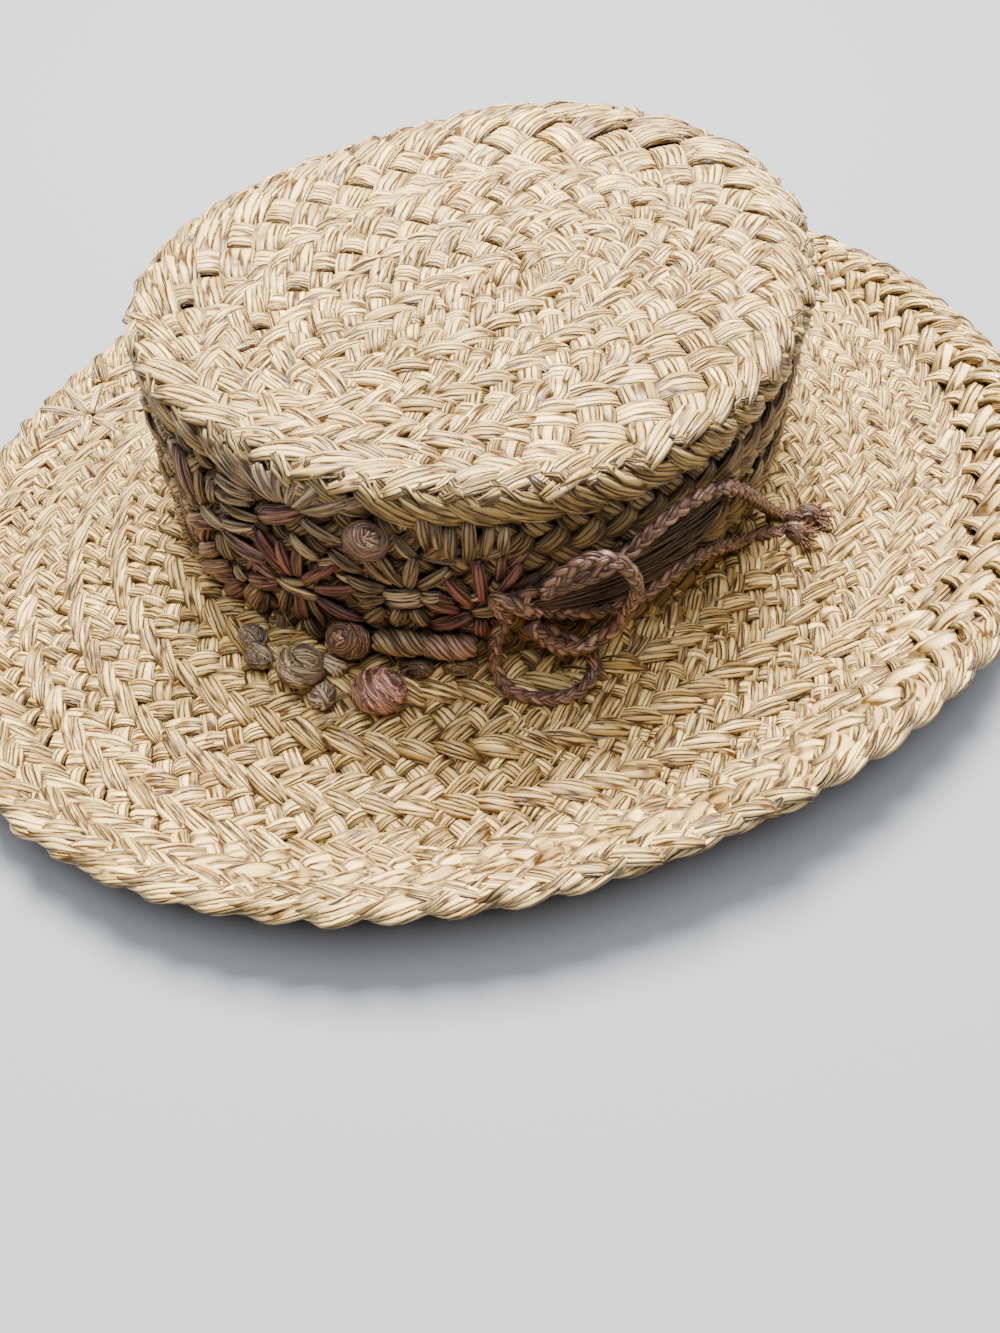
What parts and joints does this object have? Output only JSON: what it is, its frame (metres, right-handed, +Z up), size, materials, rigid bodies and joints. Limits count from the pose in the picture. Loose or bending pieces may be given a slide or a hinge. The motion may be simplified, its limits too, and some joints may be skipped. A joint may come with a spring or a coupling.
{
  "type": "boater hat",
  "caption": "Boater hat of sewn raffia plait with a flat oval crown, a wide brim with a turned-up rim, and a flower, berry and bow trim of dyed raffia.",
  "frame": {"origin": "under the middle of the brim, on the surface that the hat rests on", "axes": "+Z up through the crown, +X along the longer axis of the oval, the bow and flowers on the -Y side"},
  "size_m": [0.3844, 0.3374, 0.083],
  "materials": {
    "straw_crown": "natural raffia plait, low satin",
    "straw_brim": "natural raffia plait, low satin",
    "straw_flower": "natural raffia stitches",
    "raffia_taupe": "dyed raffia stitches, taupe",
    "raffia_dusty_rose": "dyed raffia stitches, dusty rose",
    "raffia_olive": "dyed raffia stitches, olive brown",
    "raffia_red_rose": "dyed raffia stitches, dark rose",
    "raffia_tan_rose": "wound raffia, tan rose",
    "raffia_berry_rose": "wound raffia, dusty rose",
    "raffia_berry_olive": "wound raffia, olive",
    "raffia_cord": "braided raffia cord, mauve brown, satin",
    "raffia_fray": "frayed raffia, red brown",
    "raffia_hank": "loose raffia strands, dark brown"
  },
  "bodies": {
    "root": {"crown": "straw_crown", "brim": "straw_brim", "flower_taupe": "raffia_taupe", "flower_dusty_rose": "raffia_dusty_rose", "flower_olive": "raffia_olive", "flower_red_rose": "raffia_red_rose", "brim_flower": "straw_flower", "berry_rose_upper": "raffia_tan_rose", "berry_rose_lower": "raffia_berry_rose", "berry_rose_brim": "raffia_berry_rose", "berry_olive": "raffia_berry_olive", "roll_olive": "raffia_berry_olive", "roll_rose": "raffia_tan_rose", "knots_rose": "raffia_dusty_rose", "bow_knot": "raffia_cord", "loop_upper": "raffia_cord", "loop_lower": "raffia_cord", "tail_upper": "raffia_cord", "tail_lower": "raffia_cord", "tail_upper_end": "raffia_fray", "tail_lower_end": "raffia_fray", "raffia_hank": "raffia_hank"}
  },
  "joints": []
}
